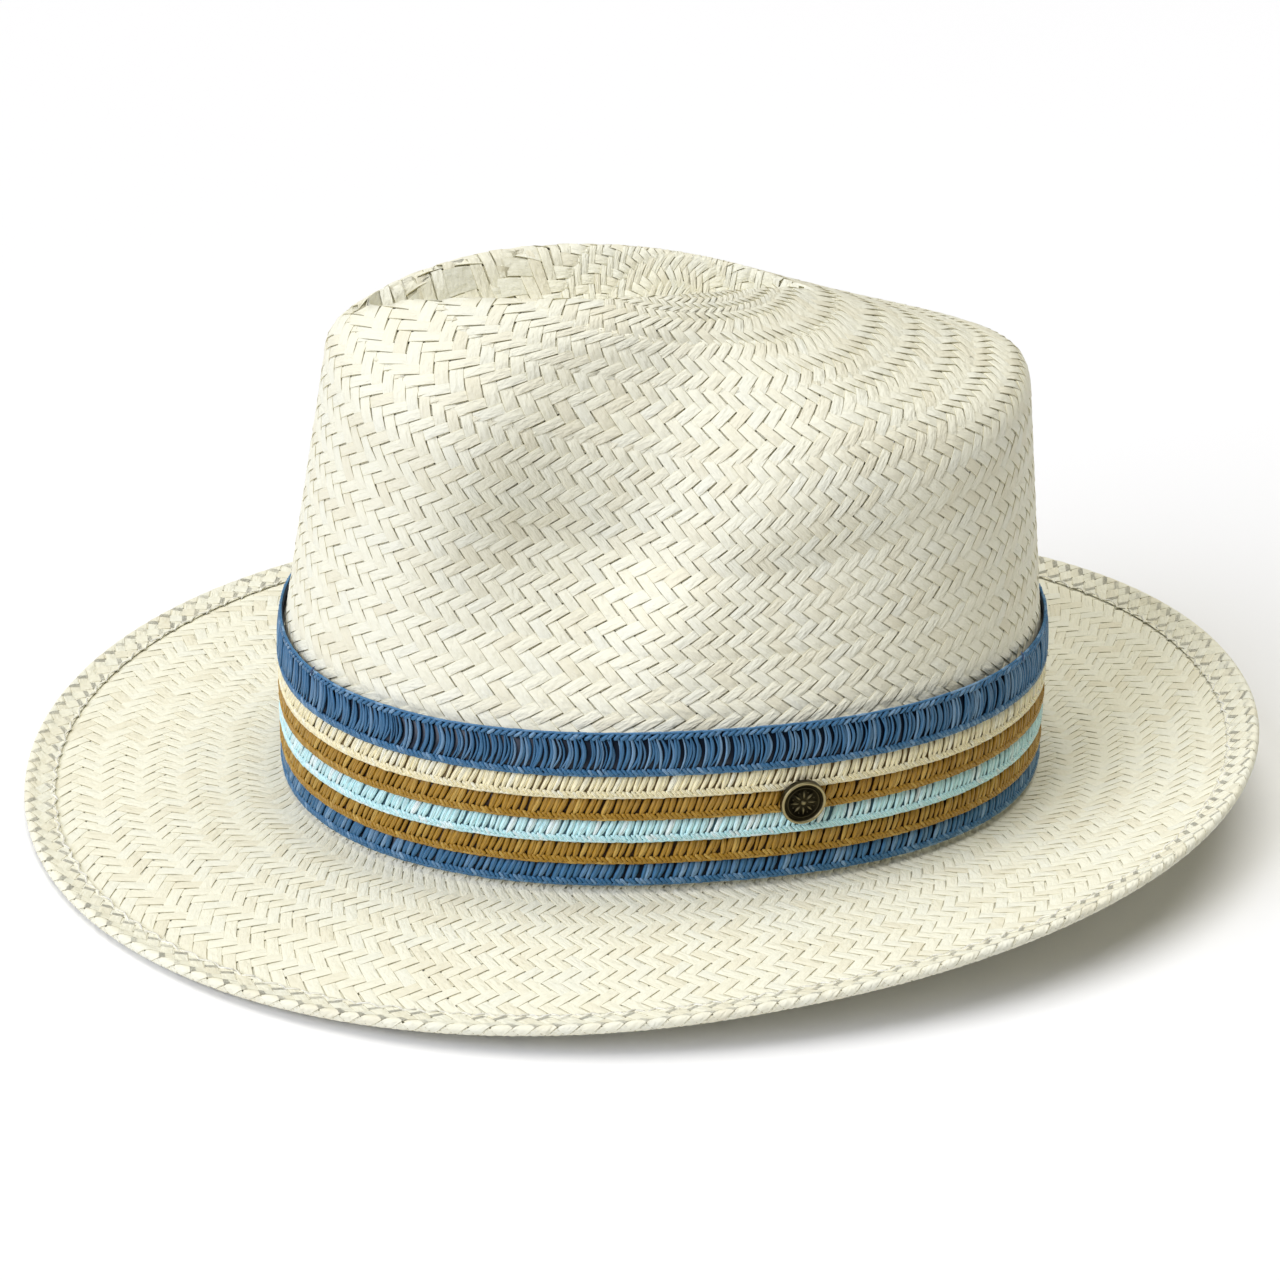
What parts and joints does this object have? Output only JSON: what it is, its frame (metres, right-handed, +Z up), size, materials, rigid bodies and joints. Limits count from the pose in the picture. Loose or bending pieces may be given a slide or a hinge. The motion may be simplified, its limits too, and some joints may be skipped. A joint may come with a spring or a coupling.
{
  "type": "fedora hat",
  "caption": "Woven paper-straw fedora with teardrop crown, wired snap brim, striped braided hatband, round stud badge and inner sweatband.",
  "frame": {"origin": "middle of the hat's outline seen from above, at the height of the brim's lowest point", "axes": "+Z up through the crown, -Y towards the front of the hat, +X towards the wearer's left"},
  "size_m": [0.2904, 0.3318, 0.1425],
  "materials": {
    "straw": "woven paper straw, satin",
    "spring_wire": "bright",
    "sewing_thread": "matte",
    "braid_blue": "braided, matte",
    "braid_cream": "braided, matte",
    "braid_ochre": "braided, matte",
    "braid_aqua": "braided, matte",
    "badge_metal": "antiqued",
    "sweatband_cloth": "ribbed grosgrain",
    "reed_plastic": "matte",
    "label_cloth": "satin"
  },
  "bodies": {
    "hat": {"straw_body": "straw", "brim_wire": "spring_wire", "hem_thread": "sewing_thread", "band_blue_top": "braid_blue", "band_cream": "braid_cream", "band_ochre_upper": "braid_ochre", "band_aqua": "braid_aqua", "band_ochre_lower": "braid_ochre", "band_blue_bottom": "braid_blue", "band_join_tab": "braid_blue", "band_tacks": "braid_blue", "sweatband": "sweatband_cloth", "sweatband_reed": "reed_plastic", "sweatband_thread": "sewing_thread", "sweatband_bow": "sweatband_cloth", "size_label": "label_cloth"},
    "badge": {"badge_disc": "badge_metal", "badge_post": "badge_metal", "badge_clutch": "badge_metal"}
  },
  "joints": [
    {"name": "badge_turn", "type": "hinge", "parent": "hat", "child": "badge", "pos_m": [0.0852, 0.02761, 0.03324], "axis": [0.9894, 0.1453, 0], "continuous": true}
  ]
}
